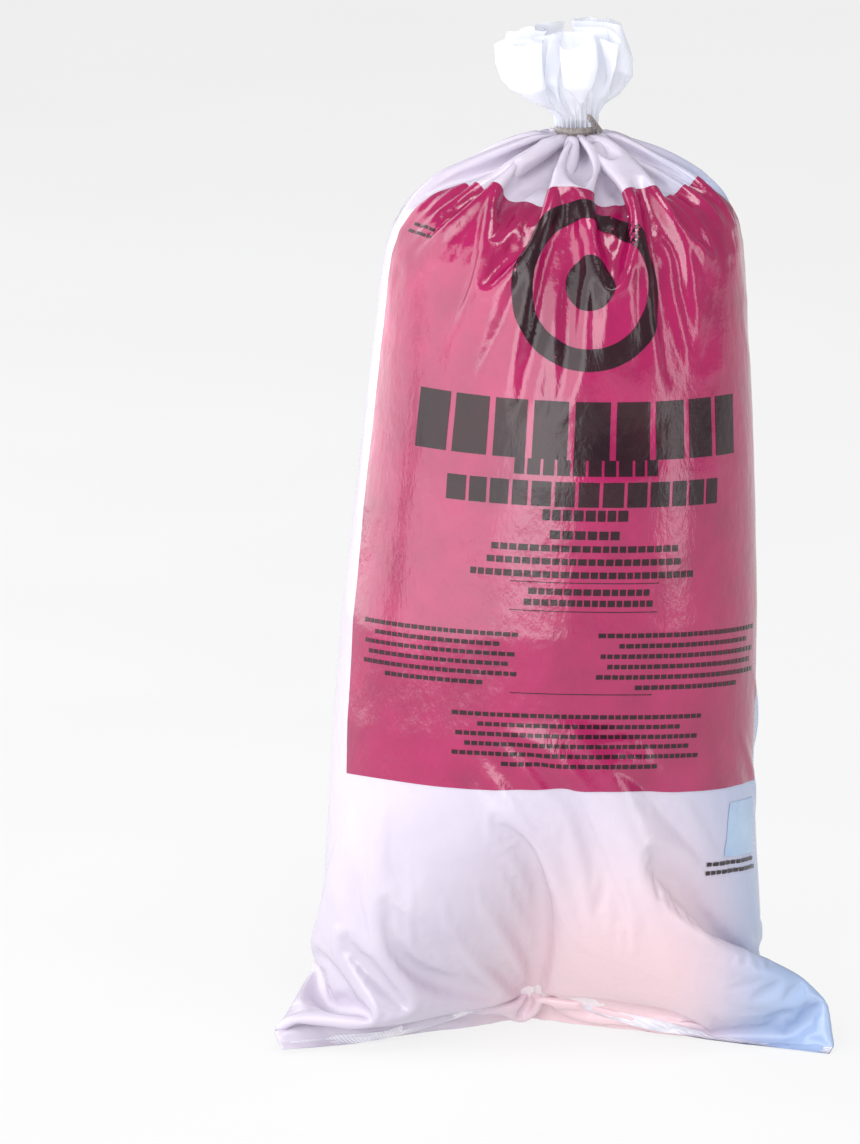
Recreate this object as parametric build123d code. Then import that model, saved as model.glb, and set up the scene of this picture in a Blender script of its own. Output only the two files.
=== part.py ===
from build123d import *

import os
from math import cos, pi, radians, sin

# A filled, tied autoclave waste bag standing on its welded bottom. Millimetres, +Z up, front -Y.

FILM = 0.6            # modelled wall; the real film is 0.05
PRINT_GAP = 0.1       # clearance between one printed layer and the next
INK = 0.4             # modelled thickness of a printed layer

# Filled body: height, half width, half depth at the back, half depth at the front,
# the centre's lean sideways and backwards, squareness of the section (1 is an ellipse)
BODY = [
    (0.0, 98.0, 47.0, 40.0, -0.5, -1.5, 0.80),
    (5.0, 104.0, 52.0, 46.0, -0.5, -2.0, 0.80),
    (12.0, 108.5, 56.0, 56.0, -0.5, -2.5, 0.80),
    (22.0, 111.0, 60.0, 66.0, -0.6, -3.5, 0.80),
    (40.0, 112.5, 65.0, 78.0, -0.8, -5.0, 0.82),
    (60.0, 113.0, 71.0, 86.0, -1.0, -5.5, 0.84),
    (84.0, 112.0, 76.5, 90.0, -1.3, -7.0, 0.87),
    (110.0, 110.0, 82.0, 91.0, -1.5, -8.5, 0.90),
    (138.0, 108.0, 86.0, 90.0, -1.0, -9.0, 0.93),
    (171.0, 107.5, 91.0, 88.0, 0.0, -8.0, 0.96),
    (223.0, 105.5, 96.0, 88.0, 2.5, -6.5, 1.0),
    (262.0, 103.0, 99.0, 88.5, 4.5, -4.5, 1.0),
    (301.0, 100.0, 101.5, 89.0, 6.5, -1.5, 1.0),
    (340.0, 97.0, 100.0, 89.0, 8.4, 0.5, 1.0),
    (365.0, 95.0, 95.0, 88.5, 9.5, 2.0, 1.0),
    (385.0, 94.0, 91.0, 87.0, 10.4, 3.5, 1.0),
    (400.0, 92.5, 87.0, 83.5, 11.2, 4.8, 1.0),
    (412.0, 90.0, 83.0, 79.0, 12.0, 6.0, 1.0),
    (421.0, 86.5, 78.5, 74.0, 12.7, 7.3, 1.0),
    (429.0, 80.5, 72.0, 68.0, 13.5, 8.8, 1.0),
    (436.0, 71.0, 63.0, 59.5, 14.5, 10.4, 1.0),
    (442.0, 57.0, 52.0, 49.5, 15.5, 12.2, 1.0),
    (448.0, 40.0, 38.0, 36.5, 16.6, 13.9, 1.0),
    (453.0, 25.0, 24.5, 24.0, 17.6, 15.4, 1.0),
    (456.0, 15.5, 15.5, 15.5, 18.2, 16.2, 1.0),
    (458.0, 10.6, 10.6, 10.6, 18.5, 16.5, 1.0),
]
TUCK_HEIGHT = 118.0   # the front wall starts to turn in under the bag here
TUCK_DEPTH = 56.0     # how far its middle has turned in at the floor
TUCK_HALF_WIDTH = 100.0
CORNER_LEFT = 22.0    # how far the left corner is drawn forward at the floor
CORNER_RIGHT = 44.0
FILL_TOP = 442.0
FILL_GAP = 0.5        # clearance between the contents and the film

# Neck, tie and crown
NECK = (18.5, 16.5)
NECK_Z0 = 458.1
NECK_WAIST = 9.4
NECK_PLEATS = 14
PIVOT_Z = 466.0       # the crown bends about the centre of the neck's domed top
DOME_R = 9.6
CROWN_CLEARANCE = 0.4
CROWN_WALL = 1.5
CROWN_PLEATS = 7
CROWN_PHASE = 0.6
# crown: height, mean radius, pleat depth, centre x, centre y
CROWN = [
    (471.6, 10.4, 0.3, 18.5, 16.5),
    (475.5, 16.5, 1.5, 17.8, 16.5),
    (480.0, 25.0, 4.0, 16.0, 16.5),
    (488.0, 30.0, 7.0, 13.5, 16.5),
    (500.0, 29.5, 8.0, 12.0, 16.5),
    (511.0, 26.0, 7.5, 11.5, 16.5),
]
TIE_Z = 461.0
TIE_WIDTH = 4.0
TIE_THICK = 1.1
TIE_WIRE_R = 0.3
TAIL_ROOT = (29.1, 7.7, 461.2)
TAIL_TIP = (22.3, -2.0, 470.2)
TAIL_R = 0.9
TAIL_STRAND_R = 0.75
TAIL_PITCH = 6.5

# Welded bottom seam and the two flat corner fins outside the body
SEAM_LEFT = 96.0
SEAM_RIGHT = 90.0
SEAM_CENTRE_X = -4.8
SEAM_RISE = 14.0
SEAM_BAND = 6.0
LEFT_ROOT = (-113.2, -28.2)
LEFT_TIP = (-137.3, -37.5)
RIGHT_ROOT = (108.8, -52.6)
RIGHT_TIP = (137.2, -69.5)
FIN_THICK = 1.2
FIN_TOP = 70.0

# Printed panel on the front
PANEL_LEFT = -84.0
PANEL_BACK = -11.5    # where the panel ends on the right-hand side of the bag
PANEL_TOP = 436.0
PANEL_BOTTOM = 143.0
EMBLEM_X = 8.0
EMBLEM_Z = 390.0
EMBLEM_R = 43.0
SECTION_STEP = 15


def station(z):
    """Body measures at height z, interpolated between the listed stations."""
    z = min(max(z, BODY[0][0]), BODY[-1][0])
    for low, high in zip(BODY, BODY[1:]):
        if z <= high[0]:
            f = (z - low[0]) / (high[0] - low[0])
            return [a + f * (b - a) for a, b in zip(low, high)]


def signed_power(value, power):
    return abs(value) ** power * (1 if value >= 0 else -1)


def body_point(angle, z, grow):
    """Point on the bag's wall; angle -90 faces the front, grow offsets it outwards."""
    _, half_width, back, front, centre_x, centre_y, power = station(z)
    across = signed_power(cos(radians(angle)), power)
    along = signed_power(sin(radians(angle)), power)
    x = (half_width + grow) * across
    y = (back + grow if along > 0 else front + grow) * along
    low = max(0, 1 - z / TUCK_HEIGHT) ** 2
    if along < 0 and abs(x) < TUCK_HALF_WIDTH:
        y += TUCK_DEPTH * low * cos(pi * x / 2 / TUCK_HALF_WIDTH) ** 2
    corner = CORNER_RIGHT if x > 0 else CORNER_LEFT
    y -= corner * low * (x / half_width) ** 2
    return x + centre_x, y + centre_y


def body_section(z, grow):
    points = [(*body_point(a, z, grow), z) for a in range(0, 360, SECTION_STEP)]
    return make_face(Spline(*points, periodic=True))


def body_solid(grow, bottom, top):
    """The bag's volume between two heights, grown outwards by an offset."""
    heights = [bottom] + [s[0] for s in BODY if bottom + 2 < s[0] < top - 2] + [top]
    return loft([body_section(z, grow) for z in heights], ruled=True)


def pleated_section(z, radius, depth, count, centre, phase=0.0, steps=8):
    """Closed wavy outline, like gathered film."""
    points = []
    for i in range(count * steps):
        a = 2 * pi * i / (count * steps)
        r = radius + depth * cos(count * a + phase)
        points.append((centre[0] + r * cos(a), centre[1] + r * sin(a), z))
    return make_face(Polyline(*points, close=True))


def front_prism(left, right, bottom, top, depth=130.0):
    """Block that cuts a rectangle out of the front of a printed layer."""
    width = right - left
    height = top - bottom
    block = Box(width, depth, height)
    return Pos((left + right) / 2, -depth / 2 - 4, (bottom + top) / 2) * block


def panel_block():
    """The printed panel's outline: left edge leans, top edge crosses the shoulder."""
    corners = [
        (PANEL_LEFT - 9, PANEL_BOTTOM + 5),
        (0, PANEL_BOTTOM),
        (130, PANEL_BOTTOM - 1),
        (130, PANEL_TOP - 20),
        (70, PANEL_TOP - 8),
        (45, PANEL_TOP),
        (-20, PANEL_TOP),
        (-60, PANEL_TOP - 9),
        (PANEL_LEFT + 2, PANEL_TOP - 25),
        (PANEL_LEFT, 340),
    ]
    outline = Polyline(*[(x, PANEL_BACK, z) for x, z in corners], close=True)
    return extrude(make_face(outline), amount=140, dir=(0, -1, 0))


def emblem_block():
    """Plain ring with a solid centre, standing in for the printed hazard symbol."""
    rings = Circle(EMBLEM_R) - Circle(EMBLEM_R - 12) + Circle(15)
    return extrude(Plane(origin=(EMBLEM_X, 0, EMBLEM_Z), z_dir=(0, -1, 0)) * rings, amount=120)


def seam_height(x):
    reach = SEAM_LEFT if x < SEAM_CENTRE_X else SEAM_RIGHT
    return 1.5 + SEAM_RISE * (1 - abs(x - SEAM_CENTRE_X) / reach) ** 1.6


def weld_block():
    """Band along the bottom seam, highest in the middle and down to the floor at the sides."""
    left = SEAM_CENTRE_X - SEAM_LEFT
    xs = [left + (SEAM_LEFT + SEAM_RIGHT) * i / 16 for i in range(17)]
    lower = [(x, 26, seam_height(x)) for x in xs]
    upper = [(x, 26, seam_height(x) + SEAM_BAND) for x in reversed(xs)]
    return extrude(make_face(Polyline(*lower, *upper, close=True)), amount=140, dir=(0, -1, 0))


def fin(root, tip):
    """Flat corner fin and its welded edge, outside the body on one side."""
    heading = Vector(tip[0] - root[0], tip[1] - root[1], 0)
    length = heading.length
    inner = 0.9
    film_edge = Polyline(
        (length - 1.6, SEAM_BAND + 1.1),
        (inner, SEAM_BAND + 1.1),
        (inner, FIN_TOP),
        (inner + 1.2, FIN_TOP),
    )
    curve = Spline(
        (inner + 1.2, FIN_TOP),
        (0.3 * length, 48.0),
        (0.68 * length, 24.0),
        (length - 1.6, SEAM_BAND + 1.1),
    )
    film_face = make_face([*film_edge.edges(), curve])
    weld_face = make_face(Polyline(
        (inner, 0.8),
        (length, 0.8),
        (length - 0.4, 3.0),
        (length - 1.6, SEAM_BAND + 1.0),
        (inner, SEAM_BAND + 1.0),
        close=True,
    ))
    plane = Plane(origin=(*root, 0), x_dir=heading, z_dir=heading.cross(Vector(0, 0, 1)))
    film = extrude(plane * film_face, amount=FIN_THICK / 2, both=True)
    weld = extrude(plane * weld_face, amount=FIN_THICK / 2 + 0.2, both=True)
    return film, weld


def neck_gather():
    """Bunched film through the tie, with a domed top that the crown turns on."""
    shape = loft([
        pleated_section(NECK_Z0, 10.0, 0.5, NECK_PLEATS, NECK),
        pleated_section(TIE_Z - TIE_WIDTH / 2 - 0.2, NECK_WAIST, 0.4, NECK_PLEATS, NECK),
        pleated_section(TIE_Z + TIE_WIDTH / 2 + 0.2, NECK_WAIST, 0.4, NECK_PLEATS, NECK),
        pleated_section(PIVOT_Z, DOME_R - 0.1, 0.05, NECK_PLEATS, NECK),
    ], ruled=True)
    dome = Pos(*NECK, PIVOT_Z) * Sphere(DOME_R, arc_size1=0, align=ON_BASE)
    return shape + Pos(0, 0, -0.02) * dome


def crown_section(z, radius, depth, x, y):
    return pleated_section(z, radius, depth, CROWN_PLEATS, (x, y), CROWN_PHASE)


def crown():
    """Loose ruffled mouth of the bag above the tie, open at the top."""
    floor_z = PIVOT_Z + DOME_R + CROWN_CLEARANCE + 1.0
    top_z, top_r, *top_rest = CROWN[-1]
    inside = [crown_section(floor_z, 11.0, 0.4, CROWN[1][3], CROWN[1][4])]
    inside += [crown_section(z, r - CROWN_WALL, *rest) for z, r, *rest in CROWN[2:-1]]
    inside += [crown_section(top_z + 1, top_r - CROWN_WALL, *top_rest)]
    outside = [crown_section(*measures) for measures in CROWN]
    socket = Pos(*NECK, PIVOT_Z) * Sphere(DOME_R + CROWN_CLEARANCE)
    return loft(outside, ruled=True) - loft(inside, ruled=True) - socket


def tie_parts():
    """Ribbon of the wire tie round the neck and the wire inside it."""
    inner_r = NECK_WAIST + 0.55
    centre = Pos(*NECK, TIE_Z)
    band = Cylinder(inner_r + TIE_THICK, TIE_WIDTH) - Cylinder(inner_r, TIE_WIDTH + 1)
    wire = Torus(inner_r + TIE_THICK / 2, TIE_WIRE_R)
    return centre * (band - wire), centre * wire


def tail_strand(turn):
    """One strand of the twisted tail, wound round the other by half a turn."""
    start = Vector(*TAIL_ROOT)
    axis = Vector(*TAIL_TIP) - start
    plane = Plane(origin=start, z_dir=axis)
    path = Helix(TAIL_PITCH, axis.length, TAIL_R)
    profile = Plane(origin=path @ 0, z_dir=path % 0) * Circle(TAIL_STRAND_R)
    strand = sweep(profile, path=path)
    return plane * (Rot(0, 0, turn) * strand)


ON_BASE = (Align.CENTER, Align.CENTER, Align.MIN)
NECK_OPEN_Z = BODY[-1][0]

film = body_solid(0, 0, NECK_OPEN_Z) - body_solid(-FILM, FILM, NECK_OPEN_Z + 0.01)
fill = body_solid(-FILM - FILL_GAP, FILM + FILL_GAP, FILL_TOP)
first_layer = body_solid(PRINT_GAP + INK, 1.0, 450) - body_solid(PRINT_GAP, 0.9, 450.2)
second_layer = body_solid(2 * (PRINT_GAP + INK), 1.0, 450) - body_solid(2 * PRINT_GAP + INK, 0.9, 450.2)

def printed(layer, left, right, bottom, top):
    """A rectangle of a printed layer on the front of the bag."""
    return layer & front_prism(left, right, bottom, top)


panel = first_layer & panel_block()
emblem = second_layer & emblem_block()
headline = printed(second_layer, -70, 84, 316, 342)
subtitle = printed(second_layer, -58, 74, 281, 311)
caution = printed(second_layer, -48, 62, 235, 275)
left_notes = printed(second_layer, -86, -20, 198, 228)
right_notes = printed(second_layer, 14, 93, 197, 228)
lower_notes = printed(second_layer, -58, 68, 151, 191)
corner_note = printed(second_layer, -62, -42, 404, 412)
indicator = printed(first_layer, 89, 105, 98, 124)
indicator_note = printed(first_layer, 78, 95, 88, 94.5)
weld = first_layer & weld_block()
left_fin, left_weld = fin(LEFT_ROOT, LEFT_TIP)
right_fin, right_weld = fin(RIGHT_ROOT, RIGHT_TIP)
tie_ribbon, tie_wire = tie_parts()

NODES = {
    "film_body": film,
    "waste_fill": fill,
    "bottom_weld": weld,
    "printed_panel": panel,
    "emblem_print": emblem,
    "headline_print": headline,
    "subtitle_print": subtitle,
    "caution_print": caution,
    "left_notes_print": left_notes,
    "right_notes_print": right_notes,
    "lower_notes_print": lower_notes,
    "corner_note_print": corner_note,
    "steam_indicator": indicator,
    "indicator_note": indicator_note,
    "neck_gather": neck_gather(),
    "tie_ribbon": tie_ribbon,
    "tie_wire": tie_wire,
    "tie_tail_a": tail_strand(0),
    "tie_tail_b": tail_strand(180),
    "crown": crown(),
    "left_fin": left_fin,
    "left_fin_weld": left_weld,
    "right_fin": right_fin,
    "right_fin_weld": right_weld,
}

os.makedirs("parts", exist_ok=True)
for name, shape in NODES.items():
    export_step(shape, f"parts/{name}.step")
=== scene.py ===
from math import cos, pi, radians, sin

import bpy
import numpy as np
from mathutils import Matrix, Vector


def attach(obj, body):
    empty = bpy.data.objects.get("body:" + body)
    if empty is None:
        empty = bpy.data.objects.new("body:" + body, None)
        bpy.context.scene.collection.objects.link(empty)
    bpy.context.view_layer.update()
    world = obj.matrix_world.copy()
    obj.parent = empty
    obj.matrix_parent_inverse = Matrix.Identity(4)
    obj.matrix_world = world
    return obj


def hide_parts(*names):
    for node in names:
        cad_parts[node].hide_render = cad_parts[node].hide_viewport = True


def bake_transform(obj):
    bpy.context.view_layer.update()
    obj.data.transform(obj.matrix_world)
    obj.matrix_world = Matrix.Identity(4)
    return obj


# A filled and tied film bag, in millimetres on the grid of its flat tube: u runs round the tube
# from the front centre and v runs up from the bottom seam. The film of the body is simulated, and
# the loose mouth above the tie is shaped by a formula.

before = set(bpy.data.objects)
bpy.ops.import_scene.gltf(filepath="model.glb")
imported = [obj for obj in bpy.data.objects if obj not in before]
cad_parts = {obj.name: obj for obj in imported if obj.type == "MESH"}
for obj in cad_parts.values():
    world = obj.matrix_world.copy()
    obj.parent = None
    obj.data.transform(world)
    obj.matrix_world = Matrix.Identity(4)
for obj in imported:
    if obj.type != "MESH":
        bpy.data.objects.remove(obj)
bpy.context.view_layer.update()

TUBE = 610.0          # flat length round the film tube
HALF = TUBE / 2
TOP_V = 610.0         # flat length of the film from its seam to its cut edge
NECK = np.array([18.5, 16.5, 459.0])
NECK_R = 9.0
NECK_PLEATS = 26
TIE_Z = 461.0
TIE_R = 10.1
TIE_GAP = 4.0         # film that the tie covers
TAIL_ROOT = np.array([29.1, 7.7, 461.2])
TAIL_TIP = np.array([22.3, -2.0, 470.2])
TAIL_PITCH = 6.5      # length of one turn of the twisted ends
NOTCH = np.array([-4.8, 14.5, 17.0])
NOTCH_S = -12.6       # place of the notch along the seam
WELD_HEIGHT = 6.0
LEFT_TIP = np.array([-136.5, -37.5, 3.0])
RIGHT_TIP = np.array([136.8, -69.5, 0.6])
SEED = 7
MM = 0.001
CELL = 1.7            # mesh spacing of the printed layers
PANEL_LIFT = 0.30     # height of the coloured layers above the film
INK_LIFT = 0.52       # height of the black print above the film

# Contents that hold the film out: height, half width, half depth, centre x, centre y
CONTENTS = np.array([
    (0, 98, 40, -0.5, -1.5),
    (10, 106, 50, -0.5, -2.5),
    (22, 109, 58, -0.5, -3.5),
    (60, 111, 70, -1.0, -5.5),
    (110, 108, 81, -1.5, -8.5),
    (138, 106.5, 84, -1.5, -9.0),
    (171, 106, 86, 0.0, -8.5),
    (223, 104, 88, 2.5, -7.0),
    (301, 98.5, 88, 6.5, -2.5),
    (350, 94.5, 84, 9.0, 1.5),
    (372, 92.5, 80, 10.0, 3.5),
    (390, 91.5, 76, 11.0, 5.0),
    (404, 90, 72, 11.8, 6.0),
    (415, 87, 67, 12.6, 7.2),
    (424, 81, 60, 13.4, 8.6),
    (431, 71, 51, 14.2, 10.2),
    (436, 57, 40, 15.0, 11.6),
    (439, 38, 26, 15.6, 12.6),
    (441, 18, 13, 16.2, 13.4),
    (442, 3, 3, 16.4, 13.8),
])
CONTENTS_TOP = 441.5
TUCK_Z = 130.0        # below this the front wall turns in under the bag


def contents_at(z):
    """Half width, half depth and centre of the contents at a height."""
    return [np.interp(z, CONTENTS[:, 0], CONTENTS[:, k]) for k in range(1, 5)]


def seam_point(s):
    """The folded bottom seam, straight from each corner to the raised notch between them."""
    s = np.asarray(s, float)
    left = np.clip((NOTCH_S - s) / (HALF / 2 + NOTCH_S), 0, 1)[:, None]
    right = np.clip((s - NOTCH_S) / (HALF / 2 - NOTCH_S), 0, 1)[:, None]
    p = NOTCH + (LEFT_TIP - NOTCH) * left + (RIGHT_TIP - NOTCH) * right
    away = np.abs(s - NOTCH_S)
    sunk = np.minimum(p[:, 2], 0.6 + NOTCH[2] * np.exp(-(away / 45) ** 1.5))
    curl = np.where(s < NOTCH_S, 2.4 * np.clip((away - 100) / 40, 0, 1), 0)
    p[:, 2] = sunk + curl
    return p


def seam_y(x):
    """Depth of the bottom seam at x."""
    left = np.clip((NOTCH[0] - x) / (NOTCH[0] - LEFT_TIP[0]), 0, 1)
    right = np.clip((x - NOTCH[0]) / (RIGHT_TIP[0] - NOTCH[0]), 0, 1)
    return NOTCH[1] + (LEFT_TIP[1] - NOTCH[1]) * left + (RIGHT_TIP[1] - NOTCH[1]) * right


def contents_ratio(p):
    """Below 1 inside the contents' rounded column."""
    a, b, cx, cy = contents_at(p[..., 2])
    over = 3 * np.clip(p[..., 2] - CONTENTS_TOP, 0, None)
    return np.sqrt(((p[..., 0] - cx) / a) ** 2 + ((p[..., 1] - cy) / b) ** 2) + over


def tuck_gap(p):
    """How far a point is behind the front wall that turns in to the seam."""
    a, b, cx, cy = contents_at(TUCK_Z)
    full = cy - b * np.sqrt(np.clip(1 - ((p[..., 0] - cx) / a) ** 2, 0, 1))
    f = np.clip((p[..., 2] - 8) / (TUCK_Z - 8), 0, 1)
    cheek = 14 * 4 * f * (1 - f) * (1 - np.exp(-((p[..., 0] - NOTCH[0]) / 30) ** 2))
    f = 0.75 * f + 0.25 * np.sin(pi / 2 * f)
    return p[..., 1] - ((seam_y(p[..., 0]) + 6) * (1 - f) + full * f - cheek)


def slope(fn, p):
    """Direction and steepness in which a field grows at each point."""
    g = np.empty_like(p)
    for axis in range(3):
        step = np.zeros(3)
        step[axis] = 1.0
        g[..., axis] = (fn(p + step) - fn(p - step)) / 2
    size = np.linalg.norm(g, axis=1) + 1e-9
    return g / size[:, None], size


def push_out(x, skin=0.6):
    """Keeps the film outside the contents."""
    ratio = contents_ratio(x)
    gap = tuck_gap(x)
    z = x[..., 2]
    inside = (ratio < 1.02) & (z < CONTENTS_TOP + 2) & ((z > TUCK_Z) | (gap > -1))
    p = x[inside]
    if not len(p):
        return
    out, size = slope(contents_ratio, p)
    deep = (1 - ratio[inside]) / size + skin
    front, size = slope(tuck_gap, p)
    deep_front = gap[inside] / size + skin
    low = p[:, 2] < TUCK_Z
    move = np.where(
        (low & (deep_front < deep))[:, None],
        -front * np.clip(deep_front, 0, 4)[:, None],
        out * np.clip(deep, 0, 4)[:, None],
    )
    move[deep <= 0] = 0
    move[low & (deep_front <= 0)] = 0
    x[inside] = p + move


def tie_v(u):
    """Film length from the seam to the tie: shortest at the sides and longest at the back."""
    a = pi * u / HALF
    return 545.5 - 10.0 * np.sin(a) ** 4 - 5.5 * np.cos(a)


def columns(n):
    """Flat places of n columns round the tube, the first at the front centre."""
    return (np.arange(n) * TUBE / n + HALF) % TUBE - HALF


def turn(u):
    """Direction round the bag of a film column; -90 degrees faces the front."""
    return -pi / 2 + u / HALF * pi


def pleat_wave(a):
    """The pleats that the tie gathers, as -1 to 1 round the neck."""
    return np.cos(NECK_PLEATS * a + 0.7 * np.sin(3 * a))


def neck_ring(u):
    a = turn(u)
    r = NECK_R * (1 + 0.16 * pleat_wave(a))
    return np.stack([r * np.cos(a), r * np.sin(a), 0 * a], axis=1) + NECK


class Net:
    """A tube of film as a grid of points that keeps its flat lengths."""

    def __init__(self, u, v, squeeze, pin):
        self.u, self.v, self.squeeze, self.pin = u, v, squeeze, pin
        self.n = len(u)
        self.m = len(v) - 1
        self.hu = TUBE / self.n
        self.rest_u = np.hypot(self.hu, np.roll(v, -1, axis=1) - v)
        self.rest_v = v[1:] - v[:-1]
        self.rest_d = {k: np.hypot(self.hu, np.roll(v[1:], -k, axis=1) - v[:-1]) for k in (1, -1)}
        self.cell = self.hu * float(self.rest_v.mean())

    @staticmethod
    def half_step(d, rest, squeeze=1.0, stiff=1.0):
        """Half the move that brings edges d to their rest length; squeeze eases shortening."""
        length = np.sqrt(np.einsum("...i,...i->...", d, d)) + 1e-9
        change = (length - rest) / length
        change = np.where(change < 0, change * squeeze, change)
        return d * (0.5 * stiff * change)[..., None]

    def lengthwise(self, x):
        for start in (0, 1):
            k = (self.m - start + 1) // 2
            low = slice(start, start + 2 * k - 1, 2)
            high = slice(start + 1, start + 2 * k, 2)
            c = self.half_step(x[high] - x[low], self.rest_v[low])
            x[low] += c
            x[high] -= c

    def crosswise(self, x):
        sq = self.squeeze
        c = self.half_step(x[:, 1::2] - x[:, 0::2], self.rest_u[:, 0::2], sq[:, 0::2])
        x[:, 0::2] += c
        x[:, 1::2] -= c
        after = np.roll(x[:, 0::2], -1, axis=1)
        c = self.half_step(after - x[:, 1::2], self.rest_u[:, 1::2], sq[:, 1::2])
        x[:, 1::2] += c
        x[:, 0::2] -= np.roll(c, 1, axis=1)

    def diagonal(self, x):
        for step in (1, -1):
            for start in (0, 1):
                k = (self.m - start + 1) // 2
                low = slice(start, start + 2 * k - 1, 2)
                high = slice(start + 1, start + 2 * k, 2)
                d = np.roll(x[high], -step, axis=1) - x[low]
                c = self.half_step(d, self.rest_d[step][low], self.squeeze[low], 0.7)
                x[low] += c
                x[high] -= np.roll(c, step, axis=1)

    def unbend(self, x, bend):
        """Film resists sharp folds: points two apart are kept nearly their flat distance apart."""
        for start in range(4):
            i = np.arange(start, self.n, 4)
            k = (i + 2) % self.n
            d = x[:, k] - x[:, i]
            length = np.sqrt(np.einsum("...i,...i->...", d, d)) + 1e-9
            rest = 0.97 * (self.rest_u[:, i] + self.rest_u[:, (i + 1) % self.n])
            short = np.minimum((length - rest) / length, 0) * bend
            short *= np.maximum(self.squeeze[:, i], 0.15)
            c = d * (0.5 * short)[..., None]
            x[:, i] += c
            x[:, k] -= c
            j = np.arange(start, self.m - 1, 4)
            d = x[j + 2] - x[j]
            length = np.sqrt(np.einsum("...i,...i->...", d, d)) + 1e-9
            rest = 0.985 * (self.rest_v[j] + self.rest_v[j + 1])
            short = np.minimum((length - rest) / length, 0) * bend
            c = d * (0.5 * short)[..., None]
            x[j] += c
            x[j + 2] -= c

    def relax(self, x, rounds, bend):
        for _ in range(rounds):
            self.lengthwise(x)
            self.crosswise(x)
            self.diagonal(x)
            self.unbend(x, bend)
            self.pin(x)


def outward(x):
    """Area-weighted outward normals of a tube grid."""
    du = np.roll(x, -1, axis=1) - np.roll(x, 1, axis=1)
    dv = np.empty_like(x)
    dv[1:-1] = x[2:] - x[:-2]
    dv[0] = x[1] - x[0]
    dv[-1] = x[-1] - x[-2]
    return np.cross(du, dv) * 0.25


def folded_seam(u):
    """The seam's points for columns all round the tube: front and back lie together."""
    return seam_point(np.where(np.abs(u) <= HALF / 2, u, np.sign(u) * HALF - u))


def body_net(n, m):
    """The body's film, pinned along its folded seam and in the tie."""
    u = columns(n)
    v = np.linspace(0, 1, m + 1)[:, None] * tie_v(u)
    squeeze = np.clip((tie_v(u) - v - 10) / 70, 0.02, 1) ** 1.2
    seam = folded_seam(u)
    ring = neck_ring(u)
    pair = (n // 2 - np.arange(n)) % n
    weld_rows = max(1, round(WELD_HEIGHT * m / 540))

    def pin(x):
        x[0] = seam
        for j in range(1, weld_rows + 1):
            middle = 0.5 * (x[j] + x[j][pair])
            x[j] += (middle - x[j]) * (1.0 if j < weld_rows else 0.5)
        x[-1] = ring
        x[..., 2] = np.clip(x[..., 2], 0.3, NECK[2])

    return Net(u, v, squeeze, pin)


def first_shape(net):
    """A first guess at the filled bag, each column's points spread along a rough profile."""
    a = turn(net.u)
    heights = np.arange(0.0, 422.0, 14.0)
    wide, deep, mid_x, mid_y = contents_at(heights)
    seam = folded_seam(net.u)
    lift = 10 + 105 * (1 + np.cos(pi * net.u / HALF)) / 2
    x = np.zeros((net.m + 1, net.n, 3))
    goal = np.linspace(0, 1, net.m + 1)
    for i in range(net.n):
        c, k = np.cos(a[i]), np.sin(a[i])
        line = [seam[i]]
        if k > 0.25:
            under = np.array([mid_x[1] + (wide[1] + 3) * c, mid_y[1] + (deep[1] + 3) * k, 1.0])
            line.append(seam[i] * 0.85 + under * 0.15 - [0, 0, seam[i][2] * 0.9])
        for w, d, cx, cy, z in zip(wide + 3, deep + 3, mid_x, mid_y, heights):
            if z >= lift[i]:
                line.append(np.array([cx + w * c, cy + d * k, z]))
        line.append(np.array([15.5 + 45 * c, 11.5 + 40 * k, 446.0]))
        line.append(NECK + NECK_R * np.array([c, k, 0]))
        line = np.array(line)
        along = np.concatenate([[0], np.cumsum(np.linalg.norm(np.diff(line, axis=0), axis=1))])
        for axis in range(3):
            x[:, i, axis] = np.interp(goal * along[-1], along, line[:, axis])
    return x


def inflate(net, x, steps, settle, pressure, noise, rng):
    """Presses the film out against its own length until it lies still round the contents."""
    before = x.copy()
    calm = np.clip((540 - net.v) / 60, 0, 1)[..., None]
    x = x + rng.normal(0, noise, x.shape) * calm
    for step in range(steps + settle):
        z = x[..., 2]
        load = 0.2 + 0.8 * np.clip((425 - z) / 60, 0, 1) + 3 * np.clip(1 - z / 130, 0, 1)
        load *= pressure * (1.0 if step < steps else 0.3)
        speed = (x - before) * 0.93
        speed[z < 0.6] *= 0.4
        before = x.copy()
        x = x + speed + outward(x) / net.cell * load[..., None]
        for _ in range(2):
            net.relax(x, 4, 0.15)
            push_out(x)
            net.pin(x)
    return x


def refine(x, n, m):
    """The same film on a finer grid."""
    rows = np.linspace(0, len(x) - 1, m + 1)
    j = np.minimum(rows.astype(int), len(x) - 2)
    f = (rows - j)[:, None, None]
    x = x[j] * (1 - f) + x[j + 1] * f
    cols = np.arange(n) * x.shape[1] / n
    i = cols.astype(int)
    g = (cols - i)[None, :, None]
    return x[:, i] * (1 - g) + x[:, (i + 1) % x.shape[1]] * g


def simulate_body():
    """Fills the bag on a coarse grid, then twice on a finer one."""
    rng = np.random.default_rng(SEED)
    grids = [(48, 44, 0.012, 0.5), (96, 88, 0.004, 0.25), (192, 176, 0.0012, 0.12)]
    lengths = [(160, 30), (90, 20), (50, 15)]
    x = first_shape(body_net(*grids[0][:2]))
    for (n, m, pressure, noise), (steps, settle) in zip(grids, lengths):
        if n != x.shape[1]:
            x = refine(x, n, m)
        net = body_net(n, m)
        x = inflate(net, x, steps, settle, pressure, noise, rng)
    return net, x


# The loose mouth's outline above the tie: distance up the film, radius, height
MOUTH_PROFILE = np.array([
    (0, 9.2, 463.0),
    (5, 9.6, 468.0),
    (11, 12.5, 473.0),
    (19, 18.5, 478.5),
    (29, 22.5, 487.0),
    (40, 23.5, 497.5),
    (52, 21.5, 508.0),
    (60, 20.5, 513.0),
])


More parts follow.
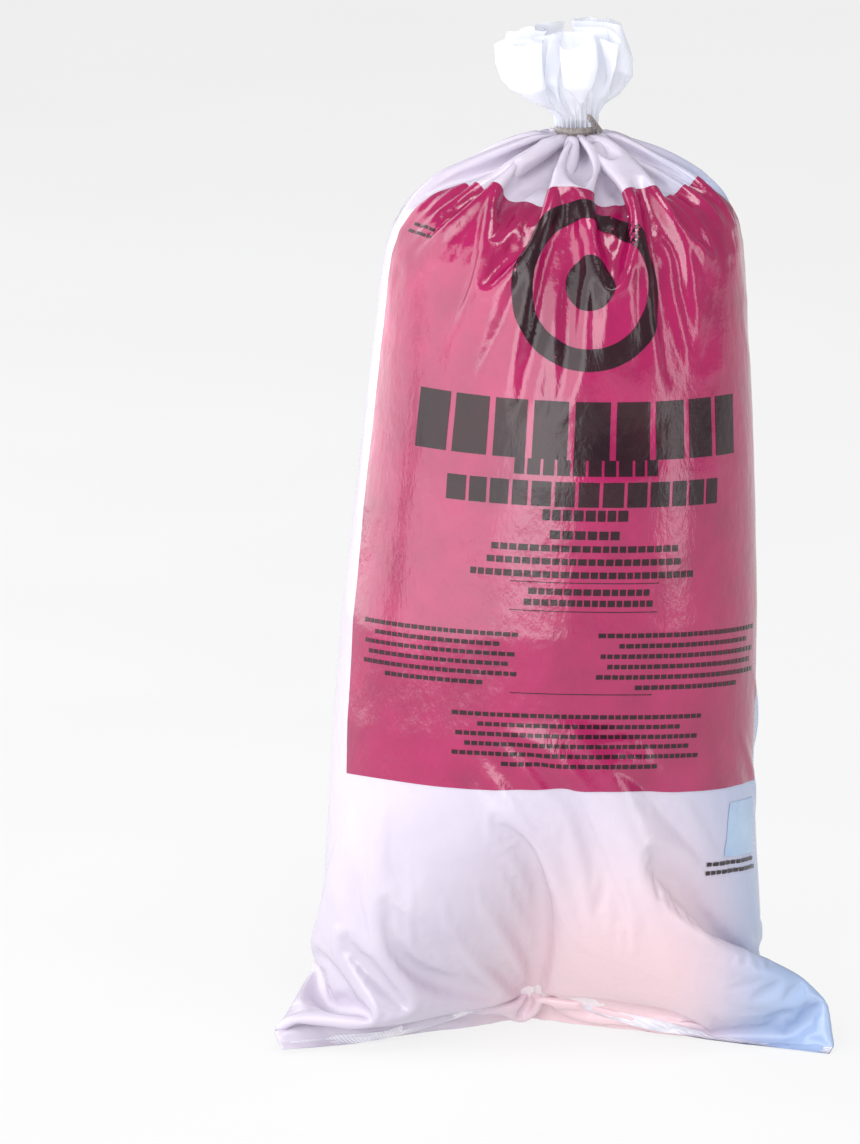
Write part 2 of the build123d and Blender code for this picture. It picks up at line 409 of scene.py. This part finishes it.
def ruffles(a, reach):
    """Ruffles round the mouth, as -1 to 1: lobes low down that drift and split higher up."""
    lobes = np.sin(8 * a + 1.1 * np.sin(2 * a + 0.5) + 0.9 * reach)
    folds = np.sin(13 * a + 1.3 * np.sin(3 * a) - 1.6 * reach + 0.7)
    fine = np.sin(29 * a + 1.8 * np.cos(4 * a + 1.0) + 2.2 * reach)
    return 0.50 * lobes + 0.36 * folds + 0.18 * fine * reach


def mouth_v(u, rows):
    """Flat heights of the loose mouth's rows, from the tie to the cut edge."""
    start = tie_v(u) + TIE_GAP
    return start + np.linspace(0, 1, rows)[:, None] * (TOP_V - start)


def shape_crown():
    """The loose mouth above the tie: pleated, flared, ruffled and leaning to the left."""
    n, m = 384, 60
    u = columns(n)
    v = mouth_v(u, m + 1)
    a = np.broadcast_to(turn(u), v.shape)
    reach = np.broadcast_to(np.linspace(0, 1, m + 1)[:, None], v.shape)
    waves = ruffles(a, reach)
    up = reach * 60 * (0.96 + 0.07 * np.sin(3 * a + 0.4) + 0.06 * np.sin(7 * a + 1.0))
    r = np.interp(up, MOUTH_PROFILE[:, 0], MOUTH_PROFILE[:, 1])
    z = np.interp(up, MOUTH_PROFILE[:, 0], MOUTH_PROFILE[:, 2])
    loose = np.clip((up - 5) / 26, 0, 1)
    pleats = 1 + 0.15 * pleat_wave(a) * (1 - loose)
    r = r * pleats + 15.0 * loose * waves
    sway = 0.34 * loose * np.cos(13 * a + 1.3 * np.sin(3 * a) - 1.6 * reach + 1.2)
    sway = sway + 0.20 * loose * np.cos(8 * a + 1.1 * np.sin(2 * a + 0.5) + 0.9 * reach)
    x = np.empty(v.shape + (3,))
    x[..., 0] = NECK[0] + r * 1.04 * np.cos(a + sway) - 7.0 * loose
    x[..., 1] = NECK[1] + r * 0.96 * np.sin(a + sway)
    x[..., 2] = z - 5.0 * loose * np.maximum(waves, 0) ** 2 + 2.5 * loose * np.cos(a)
    return Net(u, v, None, None), x


def cubic_weights(f):
    """Catmull-Rom weights of four neighbours at a fraction f between the middle two."""
    return (
        -0.5 * f + f ** 2 - 0.5 * f ** 3,
        1 - 2.5 * f ** 2 + 1.5 * f ** 3,
        0.5 * f + 2 * f ** 2 - 1.5 * f ** 3,
        -0.5 * f ** 2 + 0.5 * f ** 3,
    )


def sample(grid, row, col):
    """Smoothly interpolates a tube grid at fractional rows and columns."""
    m, n = grid.shape[0] - 1, grid.shape[1]
    j = np.clip(np.floor(row).astype(int), 0, m - 1)
    i = np.floor(col).astype(int)
    total = 0
    for dj, wj in zip((-1, 0, 1, 2), cubic_weights(np.clip(row - j, 0, 1))):
        jj = np.clip(j + dj, 0, m)
        for di, wi in zip((-1, 0, 1, 2), cubic_weights(col - i)):
            total = total + (wj * wi)[..., None] * grid[jj, (i + di) % n]
    return total


def ridges(u, v, size_u, size_v, rng):
    """Creased noise over the film: sharp ridges between soft hollows, periodic round the tube."""
    n = max(4, round(TUBE / size_u))
    m = round(TOP_V / size_v) + 4
    lattice = rng.normal(0, 1, (m + 1, n, 1))
    noise = sample(lattice, v / TOP_V * (m - 3) + 1, (u % TUBE) / TUBE * n)[..., 0]
    return 0.45 - np.abs(noise)


def crinkle(u, v):
    """Height of the film's fine creases, strongest near the tie and in the slack film low down."""
    rng = np.random.default_rng(SEED + 2)
    bend = 6 * np.sin(v / 37) + 5 * np.sin(u / 29)
    large = ridges(u + bend, v, 34, 62, rng)
    small = ridges(u - bend, v + 0.4 * u, 17, 26, rng)
    fine = ridges(u, v - 0.5 * u, 8.5, 13, rng)
    top = np.clip((v - 370) / 80, 0, 1)
    low = np.clip(1 - v / 170, 0, 1) * np.clip(v / 25, 0, 1)
    amount = 0.36 + 1.15 * top + 0.3 * low
    return amount * (0.62 * large + 0.36 * small + 0.12 * fine)


class Skin:
    """The finished film surface, evaluated anywhere on its flat tube."""

    def __init__(self, net, x, rough=1.0):
        self.net, self.x, self.rough = net, x, rough
        self.low, self.high = net.v[0], net.v[-1]

    def bare(self, u, v):
        col = (u % TUBE) / TUBE * self.net.n
        low = np.interp(col, np.arange(self.net.n + 1), np.append(self.low, self.low[0]))
        high = np.interp(col, np.arange(self.net.n + 1), np.append(self.high, self.high[0]))
        row = np.clip((v - low) / (high - low), 0, 1) * self.net.m
        return sample(self.x, row, col)

    def at(self, u, v, lift=0.0):
        """Points and unit normals at flat places u, v, lifted off the film."""
        e = 0.8
        p = self.bare(u, v)
        du = self.bare(u + e, v) - self.bare(u - e, v)
        dv = self.bare(u, v + e) - self.bare(u, v - e)
        out = np.cross(du, dv)
        out /= np.linalg.norm(out, axis=-1, keepdims=True) + 1e-9
        height = self.rough * crinkle(u, v) + lift
        p = p + out * np.asarray(height)[..., None]
        p[..., 2] = np.maximum(p[..., 2], 0.25)
        return p, out


def normals_of(grid, wrap):
    """Unit normals of a finished grid, from its neighbours."""
    if wrap:
        du = np.roll(grid, -1, axis=1) - np.roll(grid, 1, axis=1)
    else:
        du = np.gradient(grid, axis=1)
    out = np.cross(du, np.gradient(grid, axis=0))
    return out / (np.linalg.norm(out, axis=-1, keepdims=True) + 1e-9)


def grid_faces(rows, cols, wrap):
    j, i = np.meshgrid(np.arange(rows - 1), np.arange(cols if wrap else cols - 1), indexing="ij")
    k = (i + 1) % cols
    low, high = j * cols, (j + 1) * cols
    return np.stack([low + i, low + k, high + k, high + i], -1).reshape(-1, 4)


def new_piece(name, mesh):
    piece = bpy.data.objects.new(name, mesh)
    bpy.context.scene.collection.objects.link(piece)
    return piece


def closed_mesh(name, points, quads, caps, smooth_caps):
    """A closed piece: quads round it and faces of any size that close its ends."""
    mesh = bpy.data.meshes.new(name)
    sides = [tuple(int(k) for k in quad) for quad in quads]
    mesh.from_pydata((points * MM).tolist(), [], sides + caps)
    mesh.polygons.foreach_set("use_smooth", [True] * len(sides) + [smooth_caps] * len(caps))
    return new_piece(name, mesh)


def add_mesh(name, points, faces, normals=None):
    """A mesh piece from points in millimetres; unused points are dropped."""
    faces = np.asarray(faces)
    used, index = np.unique(faces, return_inverse=True)
    mesh = bpy.data.meshes.new(name)
    mesh.from_pydata((points[used] * MM).tolist(), [], index.reshape(faces.shape).tolist())
    mesh.polygons.foreach_set("use_smooth", [True] * len(mesh.polygons))
    if normals is not None:
        mesh.normals_split_custom_set_from_vertices(normals[used].tolist())
    return new_piece(name, mesh)


def add_grids(name, grids, wrap):
    """One mesh piece from several separate grids of points."""
    points, faces, normals, count = [], [], [], 0
    for grid in grids:
        points.append(grid.reshape(-1, 3))
        normals.append(normals_of(grid, wrap).reshape(-1, 3))
        faces.append(grid_faces(grid.shape[0], grid.shape[1], wrap) + count)
        count += grid.shape[0] * grid.shape[1]
    return add_mesh(name, np.concatenate(points), np.concatenate(faces), np.concatenate(normals))


# Materials -------------------------------------------------------------------------------------

def new_material(name):
    material = bpy.data.materials.new(name)
    material.use_nodes = True
    nodes = material.node_tree.nodes
    return material, nodes, material.node_tree.links, nodes["Principled BSDF"]


def noise_colour(nodes, links, scale, detail, *stops):
    """A colour ramp over noise."""
    return ramp_node(nodes, links, noise_node(nodes, links, scale, detail), stops)


def noise_node(nodes, links, scale, detail=3.0, rough=0.55, stretch=(1, 1, 1)):
    coords = nodes.new("ShaderNodeTexCoord")
    mapping = nodes.new("ShaderNodeMapping")
    mapping.inputs["Scale"].default_value = stretch
    texture = nodes.new("ShaderNodeTexNoise")
    texture.inputs["Scale"].default_value = scale
    texture.inputs["Detail"].default_value = detail
    texture.inputs["Roughness"].default_value = rough
    links.new(coords.outputs["Object"], mapping.inputs["Vector"])
    links.new(mapping.outputs["Vector"], texture.inputs["Vector"])
    return texture.outputs["Fac"]


def ramp_node(nodes, links, fac, stops):
    ramp = nodes.new("ShaderNodeValToRGB")
    while len(ramp.color_ramp.elements) < len(stops):
        ramp.color_ramp.elements.new(0.5)
    for element, (place, colour) in zip(ramp.color_ramp.elements, stops):
        element.position = place
        element.color = (*colour, 1)
    links.new(fac, ramp.inputs["Fac"])
    return ramp.outputs["Color"]


def mix_colour(nodes, links, fac, a, b):
    mix = nodes.new("ShaderNodeMix")
    mix.data_type = "RGBA"
    links.new(fac, mix.inputs["Factor"])
    for socket, value in (("A", a), ("B", b)):
        target = [s for s in mix.inputs if s.name == socket and s.type == "RGBA"][0]
        if isinstance(value, tuple):
            target.default_value = (*value, 1)
        else:
            links.new(value, target)
    return [s for s in mix.outputs if s.type == "RGBA"][0]


def place_mask(nodes, links, axis, low, high):
    """0 to 1 along one axis of the object, between two places in metres."""
    coords = nodes.new("ShaderNodeTexCoord")
    split = nodes.new("ShaderNodeSeparateXYZ")
    ranged = nodes.new("ShaderNodeMapRange")
    ranged.interpolation_type = "SMOOTHSTEP"
    ranged.inputs["From Min"].default_value = low
    ranged.inputs["From Max"].default_value = high
    links.new(coords.outputs["Object"], split.inputs["Vector"])
    links.new(split.outputs[axis], ranged.inputs["Value"])
    return ranged.outputs["Result"]


def bump_node(nodes, links, height, strength, distance):
    bump = nodes.new("ShaderNodeBump")
    bump.inputs["Strength"].default_value = strength
    bump.inputs["Distance"].default_value = distance
    links.new(height, bump.inputs["Height"])
    return bump.outputs["Normal"]


def finish_film(nodes, links, shader, rough_low, rough_high):
    """What every plastic layer shares: gloss that varies a little and fine crackle in the film."""
    gloss = nodes.new("ShaderNodeMapRange")
    gloss.inputs["To Min"].default_value = rough_low
    gloss.inputs["To Max"].default_value = rough_high
    links.new(noise_node(nodes, links, 26, 4), gloss.inputs["Value"])
    links.new(gloss.outputs["Result"], shader.inputs["Roughness"])
    fine = noise_node(nodes, links, 190, 4, 0.6, (1, 1, 0.55))
    links.new(bump_node(nodes, links, fine, 0.32, 0.0011), shader.inputs["Normal"])
    shader.inputs["IOR"].default_value = 1.52


def film_material(name, alpha, pale, shade):
    """Clear film with painted bluish shade to the right and a painted pink glow low, right of the middle.
    """
    material, nodes, links, shader = new_material(name)
    cloud = noise_colour(nodes, links, 9, 5, (0.3, shade), (0.68, pale))
    # Painted shade: a bluish tint towards the right side stands in for the film's shade there.
    right = place_mask(nodes, links, "X", 0.035, 0.13)
    painted_blue_shade = mix_colour(nodes, links, right, cloud, (0.36, 0.47, 0.70))
    # Painted light: a pink glow low down right of the middle stands in for red light from the printed panel
    # scattered in the film.
    low = place_mask(nodes, links, "Z", 0.15, 0.04)
    for start, end in ((-0.06, 0.02), (0.11, 0.05)):
        both = nodes.new("ShaderNodeMath")
        both.operation = "MULTIPLY"
        links.new(low, both.inputs[0])
        links.new(place_mask(nodes, links, "X", start, end), both.inputs[1])
        low = both.outputs[0]
    colour = mix_colour(nodes, links, low, painted_blue_shade, (0.80, 0.58, 0.63))
    links.new(colour, shader.inputs["Base Color"])
    shader.inputs["Alpha"].default_value = alpha
    shader.inputs["Specular IOR Level"].default_value = 0.62
    finish_film(nodes, links, shader, 0.16, 0.30)
    return material


def ink_material(name, dark, light, rough, shine):
    material, nodes, links, shader = new_material(name)
    colour = noise_colour(nodes, links, 34, 5, (0.32, dark), (0.7, light))
    links.new(colour, shader.inputs["Base Color"])
    shader.inputs["Specular IOR Level"].default_value = shine
    finish_film(nodes, links, shader, *rough)
    return material


def weld_material():
    material, nodes, links, shader = new_material("heat_weld")
    colour = noise_colour(nodes, links, 60, 3, (0.3, (0.5, 0.5, 0.6)), (0.7, (0.8, 0.78, 0.84)))
    links.new(colour, shader.inputs["Base Color"])
    shader.inputs["Roughness"].default_value = 0.35
    crimp = nodes.new("ShaderNodeTexWave")
    crimp.bands_direction = "DIAGONAL"
    crimp.inputs["Scale"].default_value = 260
    coords = nodes.new("ShaderNodeTexCoord")
    links.new(coords.outputs["Object"], crimp.inputs["Vector"])
    links.new(bump_node(nodes, links, crimp.outputs["Fac"], 0.5, 0.0006), shader.inputs["Normal"])
    return material


def contents_material():
    material, nodes, links, shader = new_material("loose_waste")
    stops = ((0.3, (0.62, 0.52, 0.56)), (0.55, (0.80, 0.73, 0.76)), (0.75, (0.9, 0.87, 0.9)))
    colour = noise_colour(nodes, links, 14, 4, *stops)
    links.new(colour, shader.inputs["Base Color"])
    shader.inputs["Roughness"].default_value = 0.8
    links.new(bump_node(nodes, links, noise_node(nodes, links, 60, 5), 0.6, 0.004), shader.inputs["Normal"])
    return material


def paper_material():
    material, nodes, links, shader = new_material("tie_paper")
    colour = noise_colour(nodes, links, 900, 4, (0.3, (0.16, 0.14, 0.13)), (0.7, (0.30, 0.27, 0.25)))
    links.new(colour, shader.inputs["Base Color"])
    shader.inputs["Roughness"].default_value = 0.6
    fibres = noise_node(nodes, links, 1500, 3)
    links.new(bump_node(nodes, links, fibres, 0.4, 0.0002), shader.inputs["Normal"])
    return material


def steel_material():
    material, nodes, links, shader = new_material("tie_steel")
    streak = noise_node(nodes, links, 700, 3, 0.5, (1, 1, 8))
    colour = ramp_node(nodes, links, streak, [(0.3, (0.35, 0.35, 0.36)), (0.7, (0.6, 0.6, 0.62))])
    links.new(colour, shader.inputs["Base Color"])
    shader.inputs["Metallic"].default_value = 1.0
    shader.inputs["Roughness"].default_value = 0.4
    return material


def dress(piece, material, slot, *nodes):
    """Gives a piece its material and hides the CAD nodes that it stands for; the slot is not used."""
    piece.data.materials.clear()
    piece.data.materials.append(material)
    if nodes:
        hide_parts(*nodes)
    return piece


CLEAR = film_material("clear_film", 0.90, (0.68, 0.62, 0.72), (0.55, 0.50, 0.62))
MOUTH = film_material("mouth_film", 0.55, (0.90, 0.90, 0.94), (0.70, 0.74, 0.85))
RED = ink_material("panel_ink", (0.25, 0.002, 0.060), (0.35, 0.005, 0.086), (0.11, 0.20), 0.75)
BLACK = ink_material("black_ink", (0.012, 0.002, 0.006), (0.026, 0.005, 0.010), (0.16, 0.26), 0.4)
BLUE = ink_material("indicator_ink", (0.30, 0.42, 0.62), (0.42, 0.55, 0.72), (0.3, 0.45), 0.6)
WELD = weld_material()
PAPER = paper_material()

# Film ------------------------------------------------------------------------------------------

FINE_N = 384
FINE_M = 340
MOUTH_ROWS = 61

body = Skin(*simulate_body())
mouth = Skin(*shape_crown(), 0.3)
fine_u = columns(FINE_N)
fine_v = np.linspace(0, 1, FINE_M + 1)[:, None] * tie_v(fine_u)
body_grid, _ = body.at(np.broadcast_to(fine_u, fine_v.shape), fine_v)
opposite = (FINE_N // 2 - np.arange(FINE_N)) % FINE_N
body_grid[0] = 0.5 * (body_grid[0] + body_grid[0][opposite])
fine_v = mouth_v(fine_u, MOUTH_ROWS)
crown_grid, _ = mouth.at(np.broadcast_to(fine_u, fine_v.shape), fine_v)
all_grid = np.concatenate([body_grid, crown_grid])
all_points = all_grid.reshape(-1, 3)
all_normals = normals_of(all_grid, True).reshape(-1, 3)
all_faces = grid_faces(len(all_grid), FINE_N, True)


def along(start, end):
    """How far each point of the film is from start to end, as 0 to 1."""
    s, d = np.array(start), np.array(end) - np.array(start)
    return (all_points - s) @ d / (d @ d)


# Where each moving piece of film is cut from the rest: the faces that reach past the first point towards
# the second
BENDS = {
    "crown": ((18.5, 16.5, 463.0), (18.5, 16.5, 469.0)),
    "left_fin": ((-111.5, -28.0, 32.0), (-131.0, -36.0, 20.0)),
    "right_fin": ((108.5, -52.0, 32.0), (126.0, -63.0, 20.0)),
}
moving = {}
for body_name, (start, end) in BENDS.items():
    reach = along(start, end)
    near = reach > 0
    if body_name != "crown":
        near &= all_points[:, 2] < 110
    moving[body_name] = near[all_faces].any(axis=1)
still = ~(moving["crown"] | moving["left_fin"] | moving["right_fin"])


film = add_mesh("bag_film", all_points, all_faces[still], all_normals)
dress(film, CLEAR, "film", "film_body", "neck_gather")
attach(film, "bag")
crown = add_mesh("crown_film", all_points, all_faces[moving["crown"]], all_normals)
dress(crown, MOUTH, "film", "crown")
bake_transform(crown)
for side in ("left", "right"):
    ear = add_mesh(f"{side}_ear_film", all_points, all_faces[moving[side + "_fin"]], all_normals)
    dress(ear, CLEAR, "film", f"{side}_fin")
    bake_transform(ear)


# Printed layers --------------------------------------------------------------------------------

PRINT_U = 17.0                             # centre line of the emblem
EMBLEM_V = 430.0
PANEL = (-112.0, 148.0, 174.0, 480.0)      # left, right, bottom and top on the flat film


def patch(name, outline, material, slot, *nodes):
    """A coloured patch: outline(f, g) gives flat u and v over the unit square."""
    corners = outline(np.array([0.0, 1.0, 0.0, 1.0]), np.array([0.0, 0.0, 1.0, 1.0]))
    cols = int(np.ptp(corners[0]) / CELL) + 2
    rows = int(np.ptp(corners[1]) / CELL) + 2
    f, g = np.meshgrid(np.linspace(0, 1, cols), np.linspace(0, 1, rows))
    u, v = outline(f, g)
    points, _ = body.at(u, v, PANEL_LIFT)
    piece = add_grids(name, [points], False)
    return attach(dress(piece, material, slot, *nodes), "bag")


def panel_outline(f, g):
    left, right, low, high = PANEL
    u = left + (right - left) * f
    return u, low + (high - low) * g + 0.6 * np.sin(u / 19)


def rectangle(left, right, low, high):
    return lambda f, g: (left + (right - left) * f, low + (high - low) * g)


patch("panel_print", panel_outline, RED, "panel_ink", "printed_panel")


def bars(name, rows, node):
    """Plain bars in place of lettering. A row is centre u, half width, low v, high v, bars."""
    rng = np.random.default_rng(sum(map(ord, name)))
    grids = []
    for centre, half, low, high, words in rows:
        share = rng.uniform(0.8, 1.2, words)
        gap = min(0.09 * (high - low) + 0.7, 0.2 * 2 * half / words)
        widths = share / share.sum() * (2 * half - gap * (words - 1))
        left = centre - half
        for width in widths:
            across = np.linspace(left, left + width, int(width / CELL) + 2)
            upward = np.linspace(low, high, int((high - low) / CELL) + 2)
            grids.append(body.at(*np.meshgrid(across, upward), INK_LIFT)[0])
            left += width + gap
    piece = add_grids(name, grids, False)
    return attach(dress(piece, BLACK, "black_ink", node), "bag")


def small_rows(centre, half, low, high, count):
    """A block of small print: rows of uneven length between two heights."""
    pitch = (high - low) / count
    rows = []
    for i in range(count):
        width = half * (0.62, 1.0, 0.9, 0.97, 0.8, 1.0, 0.7)[i % 7]
        bottom = low + i * pitch
        rows.append((centre, width, bottom, bottom + 0.42 * pitch, int(width / 1.9)))
    return rows


bars("headline_bars", [(18, 90, 342, 371, 9)], "headline_print")
bars("subtitle_bars", [
    (19, 36, 334, 342, 10),
    (21, 72, 318.5, 331, 13),
    (19, 21, 311.5, 317, 8),
], "subtitle_print")
bars("caution_bars", [
    (19, 17, 302.2, 306.5, 6),
    (21, 47, 295.8, 299, 20),
    (21, 49, 289.2, 292.4, 22),
    (21, 57, 282.6, 285.8, 26),
    (23, 30, 274, 277.2, 14),
    (23, 32, 268.4, 271.6, 16),
    (21, 37, 280, 280.4, 1),
    (21, 37, 265.5, 265.9, 1),
], "caution_print")
bars("left_note_bars", small_rows(-55, 44, 227, 257, 6), "left_notes_print")
bars("right_note_bars", small_rows(82, 54, 226, 258, 6), "right_notes_print")
lower_rule = (22, 36, 223.3, 223.7, 1)
bars("lower_note_bars", small_rows(23, 66, 186, 216, 6) + [lower_rule], "lower_notes_print")
bars("corner_note_bars", [(-95, 10, 443, 444.6, 4), (-95, 9, 447, 448.6, 4)], "corner_note_print")
patch("steam_patch", rectangle(118, 149, 138, 166), BLUE, "indicator_ink", "steam_indicator")
bars("indicator_note_bars", [(126, 22, 134, 136, 9), (127, 24, 129.6, 131.6, 10)], "indicator_note")


def emblem():
    """Plain ring round a disc, in place of the hazard symbol."""
    grids = []
    for inner, outer in ((33, 44), (0.2, 14)):
        radii = np.linspace(outer, inner, int((outer - inner) / 1.6))
        a, r = np.meshgrid(np.linspace(0, 2 * pi, 97)[:-1], radii)
        grids.append(body.at(PRINT_U + r * np.cos(a), EMBLEM_V + r * np.sin(a), INK_LIFT)[0])
    piece = add_grids("emblem_rings", grids, True)
    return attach(dress(piece, BLACK, "black_ink", "emblem_print"), "bag")


emblem()

# Bottom seam: a crimped band along the lowest part of the front wall --------------------------

def seam_band(name, low_s, high_s, body_name, *nodes):
    """The heat-sealed band on the front wall between two places along the seam."""
    cols = int((high_s - low_s) / 1.6)
    u, v = np.meshgrid(np.linspace(low_s, high_s, cols), np.linspace(0.2, WELD_HEIGHT, 6))
    front, _ = body.at(u, v, 0.35 + 0.15 * np.sin(v * 3))
    front[..., 2] = np.maximum(front[..., 2], 0.3)
    piece = add_grids(name, [front], False)
    dress(piece, WELD, "weld", *nodes)
    if body_name == "bag":
        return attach(piece, "bag")
    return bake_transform(piece)


seam_band("seam_band", -118, 118, "bag", "bottom_weld")
seam_band("left_seam_band", -152, -118, "left_fin", "left_fin_weld")
seam_band("right_seam_band", 118, 152, "right_fin", "right_fin_weld")


# Contents --------------------------------------------------------------------------------------

def contents():
    """Loose waste just inside the film: the film's own shape, drawn in and lumpy."""
    n, m = 128, 110
    u = columns(n)
    rows = np.linspace(0.03, 0.86, m)[:, None] * tie_v(u)
    points, out = body.at(np.broadcast_to(u, rows.shape), rows)
    rng = np.random.default_rng(SEED + 3)
    lumps = ridges(np.broadcast_to(u, rows.shape), rows, 40, 40, rng)
    points = points - out * (2.4 + 1.2 * (0.5 - lumps))[..., None]
    points[..., 2] = np.maximum(points[..., 2], 1.2)
    # The corner fins are flat and empty, so the contents stop short of them
    reach = np.interp(points[..., 2], [20, 110], [95, 116])
    inside = np.clip(points[..., 0], -reach - 4, reach)
    in_ear = inside != points[..., 0]
    drawn_back = np.maximum(points[..., 1], seam_y(inside) + 12)
    points[..., 1] = np.where(in_ear, drawn_back, points[..., 1])
    points[..., 0] = inside
    top = [(m - 1) * n + i for i in range(n)]
    points = points.reshape(-1, 3)
    points = np.concatenate([points, [points[top].mean(axis=0)]])
    caps = [(top[i], top[(i + 1) % n], m * n) for i in range(n)]
    for i in range(-n // 4, n // 4):
        caps.append(((i + 1) % n, i % n, (n // 2 - i) % n, (n // 2 - i - 1) % n))
    caps = [c for c in caps if len(set(c)) == len(c)]
    piece = closed_mesh("waste_contents", points, grid_faces(m, n, True), caps, True)
    dress(piece, contents_material(), "contents", "waste_fill")
    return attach(piece, "bag")


waste = contents()


# Wire tie --------------------------------------------------------------------------------------

def tie_band():
    """Flat paper-covered ribbon round the neck, ridged over its wire and pinched by the pleats."""
    a = np.linspace(0, 2 * pi, 145)[:-1]
    profile = [(0, -2.0), (0.5, -1.9), (0.55, -0.7), (1.0, -0.25)]
    profile += [(out, -up) for out, up in reversed(profile)]
    rings = []
    for out, up in profile:
        r = TIE_R + out + 0.12 * np.cos(13 * a)
        z = TIE_Z + up + 0.35 * np.sin(a + 0.6)
        rings.append(np.stack([NECK[0] + r * np.cos(a), NECK[1] + r * np.sin(a), z], axis=1))
    grid = np.array(rings + rings[:1])
    piece = add_mesh("tie_band", grid.reshape(-1, 3), grid_faces(len(grid), 144, True))
    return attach(dress(piece, PAPER, "tie_paper", "tie_ribbon"), "bag")


def tail_twist(name, turn_by, node):
    """One flat strand of the twisted tail, wound round the other and cut square at its end."""
    axis = TAIL_TIP - TAIL_ROOT
    length = np.linalg.norm(axis)
    axis /= length
    side = np.cross(axis, [0, 0, 1])
    side /= np.linalg.norm(side)
    other = np.cross(axis, side)
    count, sides = 60, 12
    points = []
    for f in np.linspace(-0.06, 1, count):
        a = radians(turn_by) + 2 * pi * f * length / TAIL_PITCH
        flat = -side * sin(a) + other * cos(a)
        thick = side * cos(a) + other * sin(a)
        centre = TAIL_ROOT + axis * f * length + 0.85 * thick
        for k in range(sides):
            b = 2 * pi * k / sides
            swell = 0.42 * sin(b) * (1 + 0.3 * abs(sin(b)))
            points.append(centre + flat * 1.15 * cos(b) + thick * swell)
    last = (count - 1) * sides
    ends = [tuple(reversed(range(sides))), tuple(last + k for k in range(sides))]
    piece = closed_mesh(name, np.array(points), grid_faces(count, sides, True), ends, False)
    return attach(dress(piece, PAPER, "tie_paper", node), "tie_tail")


tie_band()
tail_twist("tail_twist_a", 0, "tie_tail_a")
tail_twist("tail_twist_b", 180, "tie_tail_b")
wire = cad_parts["tie_wire"]
wire.data.materials.clear()
wire.data.materials.append(steel_material())


# Floor, light and camera -----------------------------------------------------------------------

def floor():
    material, nodes, links, shader = new_material("pale_floor")
    colour = noise_colour(nodes, links, 3, 2, (0.3, (0.13, 0.13, 0.132)), (0.7, (0.15, 0.15, 0.152)))
    links.new(colour, shader.inputs["Base Color"])
    shader.inputs["Roughness"].default_value = 0.9
    shader.inputs["Specular IOR Level"].default_value = 0.0
    shader.inputs["Emission Color"].default_value = (1, 1, 1, 1)
    shader.inputs["Emission Strength"].default_value = 0.80
    size = 12.0
    corners = [(-size, -size, 0), (size, -size, 0), (size, size, 0), (-size, size, 0)]
    mesh = bpy.data.meshes.new("floor")
    mesh.from_pydata(corners, [], [(0, 1, 2, 3)])
    mesh.materials.append(material)
    new_piece("floor", mesh)


LIGHT_AIM = Vector((0, 0, 0.25))


def area_light(name, bearing, distance, height, width, tall, radiance):
    """A soft box standing at a bearing from the front (degrees, right is positive)."""
    light = bpy.data.lights.new(name, "AREA")
    light.shape = "RECTANGLE"
    light.size = width
    light.size_y = tall
    light.energy = radiance * pi * width * tall
    lamp = bpy.data.objects.new(name, light)
    a = radians(bearing)
    lamp.location = (distance * sin(a), -distance * cos(a), height)
    lamp.rotation_euler = (LIGHT_AIM - lamp.location).to_track_quat("-Z", "Y").to_euler()
    bpy.context.scene.collection.objects.link(lamp)


def camera():
    """A long lens, a little to the left of the front and a little above."""
    bearing, rise, distance = radians(-7), radians(12), 6.0
    sensor, frame_height = 24, 0.581152
    view = Vector((-sin(bearing) * cos(rise), cos(bearing) * cos(rise), -sin(rise)))
    right = Vector((cos(bearing), sin(bearing), 0))
    up = right.cross(view)
    target = right * -0.0569 + up * 0.2323
    data = bpy.data.cameras.new("camera")
    data.sensor_fit = "VERTICAL"
    data.sensor_height = sensor
    data.lens = sensor / frame_height * distance
    lens = bpy.data.objects.new("camera", data)
    lens.location = target - view * distance
    lens.rotation_euler = view.to_track_quat("-Z", "Y").to_euler()
    bpy.context.scene.collection.objects.link(lens)
    bpy.context.scene.camera = lens


floor()
area_light("left_wall", -45, 1.8, 0.75, 4.0, 1.9, 2.4)
area_light("back_wall", -128, 1.9, 0.9, 2.6, 1.9, 2.0)
area_light("right_strip", 60, 1.6, 0.7, 0.45, 1.5, 2.4)
area_light("front_strip", -13, 2.2, 0.75, 1.25, 1.3, 1.8)
area_light("top_soft", 20, 0.8, 1.9, 0.9, 0.7, 6.0)
world = bpy.data.worlds.new("studio")
world.use_nodes = True
world.node_tree.nodes["Background"].inputs["Color"].default_value = (1, 1, 1, 1)
world.node_tree.nodes["Background"].inputs["Strength"].default_value = 0.34
bpy.context.scene.world = world
bpy.context.scene.view_settings.view_transform = "Standard"
camera()
